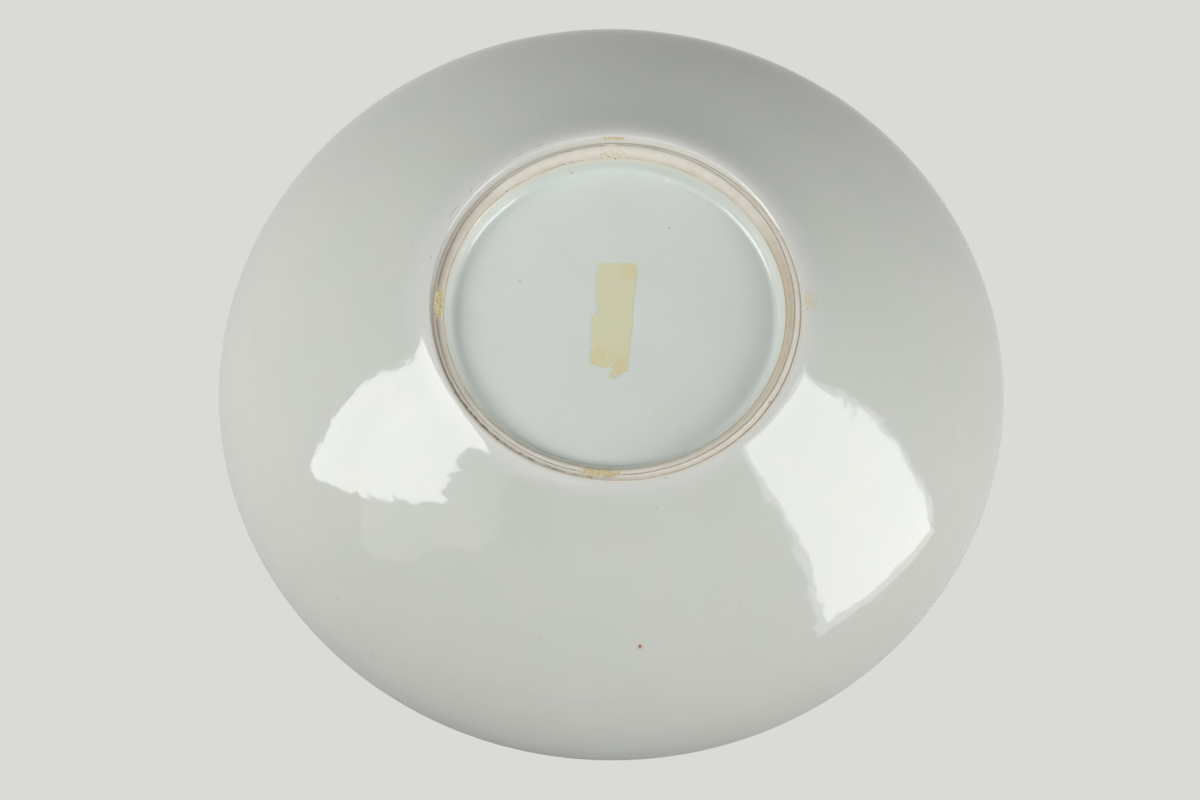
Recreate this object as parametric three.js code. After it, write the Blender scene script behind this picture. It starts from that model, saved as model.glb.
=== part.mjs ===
// A shallow white porcelain bowl on a low turned foot ring, glazed inside, outside and under the base.
// Millimetres, +Z up through the mouth. The origin is the centre of the foot's resting face.
import * as THREE from 'three';

// Driving dimensions of the thrown and turned clay
const rimDiameter = 250;
const bowlHeight = 60;
const lipThickness = 3;
const lipSlope = 78; // degrees that the wall leans up from level at the lip
const wallSlope = 27; // and where it leaves the hollow round the foot
const wallBulge = 0.76; // how long the wall keeps its first slope, as a share of its width
const wallCurl = 0.165; // and its last slope, where it curls up to the lip
const footRootRadius = 57.1;
const footRootHeight = 2.2;
const filletWidth = 6; // the hollow round the foot, where it runs into the wall
const filletHeight = 3.4;
const skirtWidth = 1.3; // the glazed slope between the foot's root and the edge of the bare clay
const skirtHeight = 1.3;
const landWidth = 1.4; // flat bare clay that the bowl stands on
const bareRimWidth = 2.5; // rounded bare clay inside the land
const bareRimHeight = 4;
const baseCornerWidth = 6.6; // the glazed bend between the bare clay and the flat of the base
const baseHeight = 6; // height of the glazed base above the resting face
const floorThickness = 3.8;
const floorRise = 0.6; // how much higher the floor lies where it meets the wall than in its middle

// Driving dimensions of the glaze and of the old adhesive stuck to it
const glazeThickness = 0.4;
const coatGap = 0.03; // left between a coat and what it covers or meets
const tapeLength = 32.5;
const tapeWidth = 11.6;
const tapeThickness = 0.15;
const tapeTilt = 5; // degrees
const tapeOffset = 1.2; // from the middle of the base, towards the back
const seatGap = 0.12; // between the flat back of a glue dab and what carries it

// How finely the round forms are drawn
const turnSteps = 72;
const wallSteps = 11;
const filletSteps = 3;
const floorSteps = 4;
const rimSteps = 5;
const cornerSteps = 5;
const dabSteps = 12;

const rimRadius = rimDiameter / 2;
const degrees = Math.PI / 180;

const claySurface = { color: 0xd2c9b0, roughness: 0.85, metalness: 0 };
const glazeSurface = { color: 0xcbd1ca, roughness: 0.12, metalness: 0 };
const tapeSurface = { color: 0xcdccae, roughness: 0.6, metalness: 0 };
const glueSurface = { color: 0xccc4a2, roughness: 0.45, metalness: 0 };

// A profile point holds a radius and a height
const at = (radius, height) => new THREE.Vector2(radius, height);

// Points of a smooth curve that leaves its start at one slope and reaches its end at another
function curveBetween(start, startSlope, startReach, end, endSlope, endReach, steps) {
  const first = at(Math.cos(startSlope), Math.sin(startSlope)).multiplyScalar(startReach);
  const last = at(Math.cos(endSlope), Math.sin(endSlope)).multiplyScalar(endReach);
  const corners = [start, start.clone().add(first), end.clone().sub(last), end];
  return new THREE.CubicBezierCurve(...corners).getPoints(steps);
}

// Each point of a profile moved square to it, by a distance that may change along it
function offsetProfile(points, distanceAt) {
  return points.map((point, index) => {
    const before = points[Math.max(index - 1, 0)];
    const after = points[Math.min(index + 1, points.length - 1)];
    const along = after.clone().sub(before).normalize();
    const distance = distanceAt(index / (points.length - 1));
    return at(point.x - along.y * distance, point.y + along.x * distance);
  });
}

// The lip is a round edge about a middle point. Its crest is level with the bowl's height, under
// the glaze, and its outer side runs into the wall.
const lipHalf = lipThickness / 2;
const lipMiddle = at(rimRadius - glazeThickness - lipHalf, bowlHeight - glazeThickness - lipHalf);
const lipPoint = (turn) => lipMiddle.clone().add(at(lipHalf * Math.cos(turn), lipHalf * Math.sin(turn)));
const lipOuterTurn = (lipSlope - 90) * degrees;
const lipCrest = lipPoint(Math.PI / 2);
const lipOutside = [lipPoint(0), lipPoint(-lipOuterTurn), lipPoint(Math.PI / 3)];
const lipInside = lipPoint((Math.PI * 2) / 3);

// Clay outside: from the foot's root through a hollow fillet, then up the wall to the lip
const footRoot = at(footRootRadius, footRootHeight);
const wallStart = at(footRoot.x + filletWidth, footRoot.y + filletHeight);
const wallEnd = lipPoint(lipOuterTurn);
const wallWidth = wallEnd.x - wallStart.x;
const outerWall = curveBetween(
  wallStart,
  wallSlope * degrees,
  wallWidth * wallBulge,
  wallEnd,
  lipSlope * degrees,
  wallWidth * wallCurl,
  wallSteps,
);
const filletReach = filletWidth * 0.6; // how far the fillet bends ahead of the wall
const filletBend = at(wallStart.x - filletReach, wallStart.y - filletReach * Math.tan(wallSlope * degrees));
const fillet = new THREE.QuadraticBezierCurve(footRoot, filletBend, wallStart).getPoints(filletSteps);

// The wall is thickest at the foot, where the floor runs into it, and thins towards the lip
const floorHeight = baseHeight + glazeThickness + floorThickness;
const rootThickness = (floorHeight + floorRise - wallStart.y) / Math.cos(wallSlope * degrees);
const thicknessAt = (share) => lipThickness + (rootThickness - lipThickness) * (1 - share) ** 2.4;
const innerWall = offsetProfile(outerWall, thicknessAt);

// Clay inside: a gently dished floor that runs into the wall
const floorCurve = new THREE.QuadraticBezierCurve(
  at(0, floorHeight),
  at(innerWall[0].x * 0.6, floorHeight),
  innerWall[0],
);
const innerFloor = floorCurve.getPoints(floorSteps).slice(0, -1);
const insideLine = [...innerFloor, ...innerWall, lipInside, lipCrest];

// Foot ring: glazed skirt, flat land, then bare clay that rounds over and up to the base
const skirtEdge = at(footRoot.x - skirtWidth, footRoot.y - skirtHeight);
const landOuter = at(skirtEdge.x - skirtEdge.y, 0);
const landInner = at(landOuter.x - landWidth, 0);
const bareRim = [];
for (let step = 1; step <= rimSteps; step += 1) {
  const turn = (Math.PI / 2) * (step / rimSteps);
  bareRim.push(at(landInner.x - bareRimWidth * Math.sin(turn), bareRimHeight * (1 - Math.cos(turn))));
}
const glazeStop = bareRim.at(-1);

// The base: a glazed bend that starts nearly level, drops, and runs out into the flat
const cornerEnd = at(glazeStop.x - baseCornerWidth, baseHeight + glazeThickness);
const shoulderReach = baseCornerWidth * 0.42;
const shoulderDrop = (cornerEnd.y - glazeStop.y) * 0.1;
const hollowReach = baseCornerWidth * 0.3;
const baseCorner = new THREE.CubicBezierCurve(
  glazeStop,
  at(glazeStop.x - shoulderReach, glazeStop.y + shoulderDrop),
  at(cornerEnd.x + hollowReach, cornerEnd.y),
  cornerEnd,
).getPoints(cornerSteps);
const baseMiddle = at(0, cornerEnd.y);
const outsideLine = [skirtEdge, ...fillet, ...outerWall.slice(1), ...lipOutside, lipCrest];
const baseLine = [...baseCorner, baseMiddle];

function namedMesh(name, geometry, surface) {
  const mesh = new THREE.Mesh(geometry, new THREE.MeshStandardMaterial(surface));
  mesh.name = name;
  return mesh;
}

// A profile turned round the bowl's axis
function turned(name, points, surface) {
  const geometry = new THREE.LatheGeometry(points, turnSteps);
  geometry.rotateX(Math.PI / 2);
  return namedMesh(name, geometry, surface);
}

// The clay body runs from the middle of the base round the foot, up the wall, over the lip and back
function makeClayBody() {
  const underside = [...baseLine].reverse();
  const footRing = [...bareRim].reverse().slice(1);
  const downInside = [...insideLine].reverse().slice(1);
  const points = [...underside, ...footRing, landInner, landOuter, ...outsideLine, ...downInside];
  return turned('clay_body', points, claySurface);
}

// A coat's back and face: the line that it covers, just clear of it, and the same line further out
function coatOutline(line, side) {
  const back = offsetProfile(line, () => side * coatGap);
  const face = offsetProfile(line, () => side * glazeThickness);
  return { back, face };
}

// Inner coat: it lies on the floor and the wall, and ends on the crest of the lip
function makeInnerGlaze() {
  const { back, face } = coatOutline(insideLine, 1);
  back[0] = at(0, floorHeight + coatGap);
  face[0] = at(0, floorHeight + glazeThickness);
  back[back.length - 1] = at(lipCrest.x - coatGap, lipCrest.y + coatGap);
  face[face.length - 1] = at(lipCrest.x - coatGap, bowlHeight);
  return turned('inner_glaze', [...back, ...face.reverse()], glazeSurface);
}

// Outer coat: it covers the wall from the crest of the lip down to the skirt of the foot
function makeOuterGlaze() {
  const { back, face } = coatOutline(outsideLine, -1);
  back[back.length - 1] = at(lipCrest.x + coatGap, lipCrest.y + coatGap);
  face[face.length - 1] = at(lipCrest.x + coatGap, bowlHeight);
  return turned('outer_glaze', [...face, ...back.reverse(), face[0]], glazeSurface);
}

// Base coat: a shallow glazed dish within the foot ring
function makeBaseGlaze() {
  const { back, face } = coatOutline(baseLine, 1);
  back[back.length - 1] = at(0, baseMiddle.y - coatGap);
  face[face.length - 1] = at(0, baseHeight);
  face[0] = at(back[0].x - glazeThickness, back[0].y - coatGap);
  return turned('base_glaze', [...face.reverse(), ...back], glazeSurface);
}

// Old tape on the base: a narrow strip with one torn end, lying flat on the glaze
function makeTapeResidue() {
  const half = tapeWidth / 2;
  const outline = new THREE.Shape([
    at(-half, -tapeLength / 2),
    at(half, -tapeLength / 2),
    at(half * 0.94, tapeLength * 0.1),
    at(half, tapeLength * 0.47),
    at(half * 0.25, tapeLength / 2),
    at(-half * 0.2, tapeLength * 0.45),
    at(-half, tapeLength * 0.44),
    at(-half * 0.8, 0),
  ]);
  const geometry = new THREE.ExtrudeGeometry(outline, { depth: tapeThickness, bevelEnabled: false });
  const tape = namedMesh('tape_residue', geometry, tapeSurface);
  tape.rotation.z = tapeTilt * degrees;
  tape.position.set(0, tapeOffset, baseHeight - tapeThickness);
  return tape;
}

// Where dabs can sit: a stretch of the profile, the coat that covers it, and how the ring curves there
const bareSeat = { from: bareRim[2], to: bareRim[1], coat: 0, hollow: true };
const skirtSeat = { from: skirtEdge, to: footRoot, coat: glazeThickness, hollow: false };
const filletSeat = { from: fillet[0], to: fillet[1], coat: glazeThickness, hollow: false };

// Each dab: its name, seat, place along the seat, length, width, thickness and angle round the foot
const glueDabs = [
  ['glue_dab_back', bareSeat, 0.1, 12, 2.2, 0.35, 95],
  ['glue_dab_left', bareSeat, 0.1, 9, 2.2, 0.35, 183.5],
  ['glue_dab_front', bareSeat, 0.1, 7.5, 2.2, 0.35, 270],
  ['glue_dab_skirt', skirtSeat, 0.5, 4, 1.3, 0.3, 269],
  ['glue_dab_wall', filletSeat, 0.7, 4, 2.4, 0.25, -1],
];

// A dried dab of glue is a low oval dome. Where the ring curves towards it, its flat back stands
// off until its two ends clear.
function makeGlueDab(name, seat, share, length, width, thickness, turn) {
  const profile = [at(0, 0), at(1, 0), at(0.8, 0.6), at(0.4, 0.94), at(0, 1)];
  const geometry = new THREE.LatheGeometry(profile, dabSteps);
  geometry.rotateX(Math.PI / 2);
  geometry.scale(length / 2, width / 2, thickness);
  const dab = namedMesh(name, geometry, glueSurface);

  const place = seat.from.clone().lerp(seat.to, share);
  const along = seat.to.clone().sub(seat.from).normalize();
  const outward = at(along.y, -along.x);
  const standOff = seat.hollow ? (length / 2) ** 2 / (2 * place.x) : 0;
  place.addScaledVector(outward, seat.coat + seatGap + standOff);
  dab.position.set(place.x, 0, place.y);
  const facing = new THREE.Matrix4().makeBasis(
    new THREE.Vector3(0, 1, 0),
    new THREE.Vector3(along.x, 0, along.y),
    new THREE.Vector3(outward.x, 0, outward.y),
  );
  dab.quaternion.setFromRotationMatrix(facing);
  const holder = new THREE.Group();
  holder.rotation.z = turn * degrees;
  holder.add(dab);
  return holder;
}

const bowl = new THREE.Group();
bowl.add(makeClayBody(), makeInnerGlaze(), makeOuterGlaze(), makeBaseGlaze(), makeTapeResidue());
for (const dab of glueDabs) {
  bowl.add(makeGlueDab(...dab));
}

export default bowl;
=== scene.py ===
import math
import random

import bpy
from mathutils import Matrix, Vector, noise
from mathutils.bvhtree import BVHTree


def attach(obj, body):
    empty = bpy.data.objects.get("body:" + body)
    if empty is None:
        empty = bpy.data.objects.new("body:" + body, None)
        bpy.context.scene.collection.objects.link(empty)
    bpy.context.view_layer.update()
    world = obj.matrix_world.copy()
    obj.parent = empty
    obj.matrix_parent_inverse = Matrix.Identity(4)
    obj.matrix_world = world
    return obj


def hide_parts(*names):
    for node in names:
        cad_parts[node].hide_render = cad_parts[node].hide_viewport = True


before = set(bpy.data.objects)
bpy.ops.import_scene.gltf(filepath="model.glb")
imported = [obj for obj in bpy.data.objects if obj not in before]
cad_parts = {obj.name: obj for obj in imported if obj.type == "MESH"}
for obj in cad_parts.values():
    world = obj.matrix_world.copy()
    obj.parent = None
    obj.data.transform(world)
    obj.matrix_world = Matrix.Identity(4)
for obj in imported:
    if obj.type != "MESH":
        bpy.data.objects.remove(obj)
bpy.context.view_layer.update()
mm = 0.001
fullTurn = 2 * math.pi


class Wire:
    # a socket that can be used in sums: each operator adds one Math node
    def __init__(self, tree, socket):
        self.tree = tree
        self.socket = socket

    def maths(self, operation, *values):
        node = self.tree.nodes.new("ShaderNodeMath")
        node.operation = operation
        for slotNumber, value in enumerate(values):
            plug(self.tree, node.inputs[slotNumber], value)
        return Wire(self.tree, node.outputs[0])

    def __add__(self, other):
        return self.maths("ADD", self, other)

    def __radd__(self, other):
        return self.maths("ADD", other, self)

    def __sub__(self, other):
        return self.maths("SUBTRACT", self, other)

    def __rsub__(self, other):
        return self.maths("SUBTRACT", other, self)

    def __mul__(self, other):
        return self.maths("MULTIPLY", self, other)

    def __rmul__(self, other):
        return self.maths("MULTIPLY", other, self)

    def __truediv__(self, other):
        return self.maths("DIVIDE", self, other)

    def __rtruediv__(self, other):
        return self.maths("DIVIDE", other, self)

    def root(self):
        return self.maths("SQRT", self)

    def size(self):
        return self.maths("ABSOLUTE", self)

    def cosine(self):
        return self.maths("COSINE", self)

    def clamped(self):
        above = self.maths("MAXIMUM", self, 0.0)
        return above.maths("MINIMUM", above, 1.0)


def plug(tree, socket, value):
    # a link where the value is a wire or a socket, and a plain value otherwise
    if isinstance(value, Wire):
        value = value.socket
    if isinstance(value, bpy.types.NodeSocket):
        tree.links.new(value, socket)
    elif value is not None:
        socket.default_value = (*value, 1.0) if socket.type == "RGBA" else value


class Nodes:
    # the nodes of a material or of the world
    def __init__(self, owner):
        owner.use_nodes = True
        self.tree = owner.node_tree
        self.tree.nodes.clear()

    def node(self, kind, settings=None, sockets=None):
        # the settings come first, then each socket by its name or number
        made = self.tree.nodes.new(kind)
        for key, value in (settings or {}).items():
            setattr(made, key, value)
        for key, value in (sockets or {}).items():
            plug(self.tree, made.inputs[key], value)
        return made

    def wire(self, socket):
        return Wire(self.tree, socket)


class Finish(Nodes):
    # one material, whose noises and distances are in the object's own millimetres
    def __init__(self, name):
        self.material = bpy.data.materials.new(name)
        super().__init__(self.material)
        self.coordinates = self.node("ShaderNodeTexCoord").outputs["Object"]

    def mix(self, factor, first, second):
        # one colour into another
        made = self.node("ShaderNodeMix", {"data_type": "RGBA"}, {0: factor, 6: first, 7: second})
        return made.outputs[2]

    def noise(self, grain, detail=2.0, roughness=0.5):
        # a cloudy noise whose lumps are about one grain wide
        made = self.node("ShaderNodeTexNoise", sockets={
            "Scale": 1 / (grain * mm), "Detail": detail, "Roughness": roughness, "Vector": self.coordinates})
        return self.wire(made.outputs["Fac"])

    def away(self, point):
        # how far the surface is from a point
        made = self.node("ShaderNodeVectorMath", {"operation": "DISTANCE"}, {0: self.coordinates, 1: point})
        return self.wire(made.outputs["Value"]) / mm

    def offsets(self, middle):
        # how far the surface is from an upright axis along X and Y, and its height
        split = self.node("ShaderNodeSeparateXYZ", sockets={"Vector": self.coordinates})
        across, along, height = (self.wire(socket) / mm for socket in split.outputs)
        return across - middle[0], along - middle[1], height

    def radiusFrom(self, middle):
        across, along = self.offsets(middle)[:2]
        return (across * across + along * along).root()

    def round(self, middle=(0.0, 0.0)):
        # radius, angle and height about an upright axis
        across, along, height = self.offsets(middle)
        radius = (across * across + along * along).root()
        return radius, along.maths("ARCTAN2", along, across), height

    def turning(self, place, grain, stretch):
        # a noise drawn out along the potter's turning
        radius, angle, height = place
        joined = self.node("ShaderNodeCombineXYZ", sockets={
            0: radius / grain, 1: angle * stretch, 2: height / grain})
        made = self.node("ShaderNodeTexNoise", sockets={
            "Scale": 1.0, "Detail": 3.0, "Vector": joined.outputs[0]})
        return self.wire(made.outputs["Fac"])

    def surface(self, colour, roughness, relief, refraction=None):
        # the closing shader, with its relief as a height
        bump = self.node("ShaderNodeBump", sockets={"Strength": 1.0, "Distance": mm, "Height": relief})
        shader = self.node("ShaderNodeBsdfPrincipled", sockets={
            "Base Color": colour, "Roughness": roughness, "IOR": refraction, "Normal": bump.outputs[0]})
        self.node("ShaderNodeOutputMaterial", sockets={"Surface": shader.outputs[0]})
        return self.material


def sRGB(red, green, blue):
    # a screen colour from 0 to 255, as Blender's linear colour
    def linear(part):
        share = part / 255
        return share / 12.92 if share <= 0.04045 else ((share + 0.055) / 1.055) ** 2.4
    return (linear(red), linear(green), linear(blue))


def nearAngle(angle, middle, half):
    # 1 at an angle in degrees, falling to 0 at half this wide
    edge = math.cos(math.radians(half))
    return (((angle - math.radians(middle)).cosine() - edge) / (1 - edge)).clamped()


def nearRing(radius, middle, half):
    # 1 at a radius, falling to 0 at half this wide
    return (1 - (radius - middle).size() / half).clamped()


def beyond(value, start, full):
    # 0 until start, then rising to 1 at full
    return ((value - start) / (full - start)).clamped()


def held(value):
    # a plain number kept between 0 and 1
    return min(1.0, max(0.0, value))


def between(first, second, share):
    # a point or a colour this far from the first to the second
    return tuple(start + (end - start) * share for start, end in zip(first, second))


# The bowl's own measures, in millimetres, as in the CAD model
bowlSizes = {
    "rimRadius": 125.0,
    "height": 60.0,
    "widestHeight": 58.0,  # where the outline in the photograph lies
    "lipThickness": 3.0,
    "lipSlope": 78.0,  # degrees
    "wallSlope": 27.0,
    "wallBulge": 0.76,  # how long the wall keeps its first slope, as a share of its width
    "wallCurl": 0.165,  # and its last, where it curls up to the lip
    "wallThins": 2.4,  # how soon the wall has thinned to the lip's thickness
    "footRootRadius": 57.1,
    "footRootHeight": 2.2,
    "filletWidth": 6.0,
    "filletHeight": 3.4,
    "filletBend": 0.6,  # where the hollow round the foot bends, as a share of its width
    "baseHeight": 6.0,
    "floorThickness": 3.8,
    "floorRise": 0.6,
    "floorLevel": 0.6,  # how far out the floor stays level, as a share of its radius
    "glaze": 0.4,
    "gap": 0.03,
}

# The foot as it was trimmed by hand: its bare ring lies a little off centre
footSizes = {
    "shift": 0.65,  # the whole foot, to the right of the rim's middle
    "shiftFades": (60.0, 100.0),  # the radii between which the wall returns to that middle
    "lineMiddle": (1.43, 2.0),  # the circle along which the outer glaze was wiped back
    "lineRadius": 54.3,
    "lineRipple": (0.1, 9, 0.3),  # how deep its ripples are, how close, and which pattern
    "innerMiddle": (0.75, 2.4),  # the circle where the base's glaze begins
    "innerRadius": 50.4,
    "innerOval": 0.25,  # and how far it is from round
    "innerRipple": (0.07, 14, 0.9),
    "innerHeight": 2.0,
    "innerSlope": 66.0,  # degrees, of the foot's inner face
    "innerRound": 2.1,  # how far the hollow at its root reaches
    "innerReach": 0.4,  # how long the bare clay keeps that slope, as a share of its width
    "landReach": 0.6,  # and from where it lies level
    "landWidth": 0.35,
    "beadRadius": 54.8,
    "beadLeast": 0.45,  # least way from the wiped line to the bead's crest
    "beadHeight": 0.25,
    "beadLift": 0.12,  # how fast the crest rises where the line pushes it out
    "beadStep": 0.4,
    "beadRoll": 0.65,
    "bandLeast": 0.12,  # least width of the thin band between the line and the bead
    "thinEdge": ((0.04, 0.06), (0.12, 0.02)),  # the band's edge: out from the line, and up from the band
    "clayUnder": (0.3, 0.2, 0.52),  # the clay beneath: out and up from the edge, and up from the crest
    "coatUnder": (0.08, 0.09, 0.46),  # and the glaze's back
    "grooveEdge": (0.02, 0.07),  # where the groove meets the glaze: in from the line, up from the band
    "grooveWidth": 0.9,
    "grooveMore": 0.8,  # how much wider the groove is on one side
    "grooveAngle": 0.0,
    "crestReach": 0.13,  # how long the back stays flat behind the bead, as a share of its width
    "wallReach": 0.75,  # and how long it has the wall's slope
}

# How many steps each stretch of the outline has, and its full turn
lineSteps = {
    "turn": 360,
    "wall": 96,
    "fillet": 18,
    "join": 30,  # from the foot's root to where the bead's back has run into the wall
    "floor": 30,
    "lipOutside": 14,
    "lipInside": 6,
    "innerFace": 6,
    "innerRound": 24,
    "flat": 16,
    "roll": 8,
    "beadBack": 36,
    "bareRim": 20,
    "groove": 9,
}

# How far each coat dips at most, and how wide its dents are
dentSizes = {
    "outside": (0.11, 11.0),
    "inside": (0.08, 13.0),
    "base": (0.05, 12.0),
    "fadeSteps": 12,  # in how many steps the outer dents begin, past the bead's back and before the lip
    "insideRate": 12,  # how fast those inside begin, as the line runs from 0 to 1
    "insideEnd": 0.93,  # where they end, before the lip
    "baseRate": 10,  # how fast the base's begin and end
    "baseEdge": (0.25, 0.3),  # the base's glaze at its edge, as a share, and how much each step adds
}


def curvePoints(corners, steps):
    # a smooth curve of three or four corner points
    degree = len(corners) - 1
    made = []
    for step in range(steps + 1):
        share = step / steps
        weights = [math.comb(degree, corner) * (1 - share) ** (degree - corner) * share ** corner
                   for corner in range(degree + 1)]
        made.append(tuple(sum(weight * point[axis] for weight, point in zip(weights, corners))
                          for axis in (0, 1)))
    return made


def shifted(points, distanceAt):
    # each point moved square to the line by its distance
    made = []
    last = len(points) - 1
    for index, point in enumerate(points):
        before = points[max(index - 1, 0)]
        after = points[min(index + 1, last)]
        length = math.hypot(after[0] - before[0], after[1] - before[1])
        along = ((after[0] - before[0]) / length, (after[1] - before[1]) / length)
        distance = distanceAt(index / last)
        made.append((point[0] - along[1] * distance, point[1] + along[0] * distance))
    return made


def leaned(point, lean, reach):
    # a point moved along a slope
    return (point[0] + reach * math.cos(lean), point[1] + reach * math.sin(lean))


def lipPoints(start, end, steps):
    # the round edge of the lip, between two directions from its middle
    half = bowlSizes["lipThickness"] / 2
    inset = bowlSizes["glaze"] + half
    middle = (bowlSizes["rimRadius"] - inset, bowlSizes["height"] - inset)
    return [leaned(middle, start + (end - start) * step / steps, half) for step in range(steps + 1)]


def wallLines():
    # the clay's outside and inside, from the foot's root and the floor's middle up to the lip's crest
    sizes = bowlSizes
    slope = math.radians(sizes["lipSlope"])
    startSlope = math.radians(sizes["wallSlope"])
    root = (sizes["footRootRadius"], sizes["footRootHeight"])
    start = (root[0] + sizes["filletWidth"], root[1] + sizes["filletHeight"])
    end = lipPoints(slope - math.pi / 2, 0, 1)[0]
    width = end[0] - start[0]
    bulge = leaned(start, startSlope, width * sizes["wallBulge"])
    curl = leaned(end, slope, -width * sizes["wallCurl"])
    wall = curvePoints((start, bulge, curl, end), lineSteps["wall"])
    reach = sizes["filletWidth"] * sizes["filletBend"]
    bend = (start[0] - reach, start[1] - reach * math.tan(startSlope))
    fillet = curvePoints((root, bend, start), lineSteps["fillet"])

    floorHeight = sizes["baseHeight"] + sizes["glaze"] + sizes["floorThickness"]
    thinnest = sizes["lipThickness"]
    extra = (floorHeight + sizes["floorRise"] - start[1]) / math.cos(startSlope) - thinnest
    innerWall = shifted(wall, lambda share: thinnest + extra * (1 - share) ** sizes["wallThins"])
    level = (innerWall[0][0] * sizes["floorLevel"], floorHeight)
    floor = curvePoints(((0, floorHeight), level, innerWall[0]), lineSteps["floor"])
    outerLip = lipPoints(slope - math.pi / 2, math.pi / 2, lineSteps["lipOutside"])
    innerLip = lipPoints(slope + math.pi / 2, math.pi / 2, lineSteps["lipInside"])
    return fillet + wall[1:] + outerLip[1:], floor[:-1] + innerWall + innerLip[1:]


def baseLine():
    # the clay under the base's glaze: up the foot's inner face, round its root and in to the axis
    foot = footSizes
    top = bowlSizes["baseHeight"] + bowlSizes["glaze"]
    slope = math.radians(foot["innerSlope"])
    edge = (foot["innerRadius"], foot["innerHeight"])
    corner = (edge[0] - (top - edge[1]) / math.tan(slope), top)
    turn = leaned(corner, -slope, foot["innerRound"])
    end = (corner[0] - foot["innerRound"], top)
    faceSteps, flatSteps = lineSteps["innerFace"], lineSteps["flat"]
    face = [between(edge, turn, step / faceSteps) for step in range(faceSteps)]
    flat = [(end[0] * (1 - step / flatSteps), top) for step in range(1, flatSteps + 1)]
    return face + curvePoints((turn, corner, end), lineSteps["innerRound"]) + flat


def offCentre(middle, angle):
    # how far a circle about another middle lies out at one angle, seen from the foot's own middle
    return (middle[0] - footSizes["shift"]) * math.cos(angle) + middle[1] * math.sin(angle)


def rippleAt(angle, depth, closeness, pattern):
    # the unsteady hand that wiped an edge
    return depth * noise.noise(Vector((math.cos(angle), math.sin(angle), pattern)) * closeness)


def glazeLineAt(angle):
    # how far out the outer glaze was wiped back
    foot = footSizes
    line = foot["lineRadius"] + offCentre(foot["lineMiddle"], angle)
    return line + rippleAt(angle, *foot["lineRipple"])


def innerEdgeAt(angle):
    # how far out the bare clay begins
    foot = footSizes
    edge = foot["innerRadius"] + offCentre(foot["innerMiddle"], angle)
    oval = foot["innerOval"] * math.cos(2 * angle)
    return edge + oval + rippleAt(angle, *foot["innerRipple"])


def glazeEdgeAt(angle):
    # the radii of the wiped line and of the bead's crest, and the heights of that crest and of the thin band
    foot = footSizes
    line = glazeLineAt(angle)
    bead = max(foot["beadRadius"], line + foot["beadLeast"])
    crest = foot["beadHeight"] + (bead - foot["beadRadius"]) ** 2 * foot["beadLift"]
    return line, bead, crest, crest + foot["beadStep"]


def beadLineAt(angle, join, joinSlope):
    # the glaze's face over the foot's edge: the thin band, the rolled bead and its long back to the wall
    foot = footSizes
    line, bead, crest, band = glazeEdgeAt(angle)
    roll = min(foot["beadRoll"], bead - line - foot["bandLeast"])
    face = [(line + out, band + up) for out, up in foot["thinEdge"]] + [(bead - roll, band)]
    for step in range(1, lineSteps["roll"] + 1):
        share = step / lineSteps["roll"]
        ease = share * share * (3 - 2 * share)
        face.append((bead - roll * (1 - share), band - foot["beadStep"] * ease))
    crestEnd = (bead + (join[0] - bead) * foot["crestReach"], crest)
    back = (join[0] - bead) * foot["wallReach"]
    wallBack = (join[0] - back, join[1] - back * math.tan(joinSlope))
    return face + curvePoints((face[-1], crestEnd, wallBack, join), lineSteps["beadBack"])[1:]


def bareLineAt(angle):
    # the bare clay: its rounded rim, the land that the bowl stands on, and the groove up to the glaze
    foot = footSizes
    line, bead, crest, band = glazeEdgeAt(angle)
    start = innerEdgeAt(angle)
    wider = max(0.0, math.cos(angle - math.radians(foot["grooveAngle"])))
    groove = foot["grooveWidth"] + foot["grooveMore"] * wider
    land = line - groove
    width = land - foot["landWidth"] - start
    reach = width * foot["innerReach"]
    height = foot["innerHeight"]
    drop = min(height, reach * math.tan(math.radians(foot["innerSlope"])))
    corners = ((start, height), (start + reach, height - drop), (start + width * foot["landReach"], 0.0),
               (start + width, 0.0))
    inward, upward = foot["grooveEdge"]
    groovePoints = ((land, 0.0), (line - groove * 0.5, 0.0), (line - inward, band + upward))
    return curvePoints(corners, lineSteps["bareRim"])[1:] + curvePoints(groovePoints, lineSteps["groove"])


def underGlazeAt(angle, under):
    # two points beneath the glaze's edge and its bead
    line, bead, crest, band = glazeEdgeAt(angle)
    out, up, underCrest = under
    return [(line + out, band + up), (bead, crest + underCrest)]


def dentOn(line, share, angle, coat):
    # how far a hand-made coat dips below its true line, never above it, this share along the line
    radius, height = line[round(share * (len(line) - 1))]
    point = Vector((radius * math.cos(angle), radius * math.sin(angle), height))
    depth, grain = dentSizes[coat]
    near = noise.noise(point / grain)
    far = noise.noise(point / (grain * 2.3) + Vector((7.1, 3.3, 1.7)))
    return depth * held(0.5 + 0.5 * near + 0.35 * far)


# The lines that stay the same all round, and where the bead's back runs into the wall
outsideLine, insideLine = wallLines()
undersideLine = baseLine()
joinStep = lineSteps["join"]
plainFace = shifted(outsideLine, lambda share: -bowlSizes["glaze"])
joinPoint, afterJoin = plainFace[joinStep], plainFace[joinStep + 1]
joinSlope = math.atan2(afterJoin[1] - joinPoint[1], afterJoin[0] - joinPoint[0])


def baseLineAt(angle):
    # the base's line, drawn towards where the bare clay begins at this angle
    stretch = innerEdgeAt(angle) / footSizes["innerRadius"]
    return [(radius * stretch, height) for radius, height in undersideLine]


def clayAt(angle):
    # the clay's whole outline at one angle
    under = underGlazeAt(angle, footSizes["clayUnder"])
    return baseLineAt(angle)[::-1] + bareLineAt(angle) + under + outsideLine + insideLine[::-1][1:]


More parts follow.
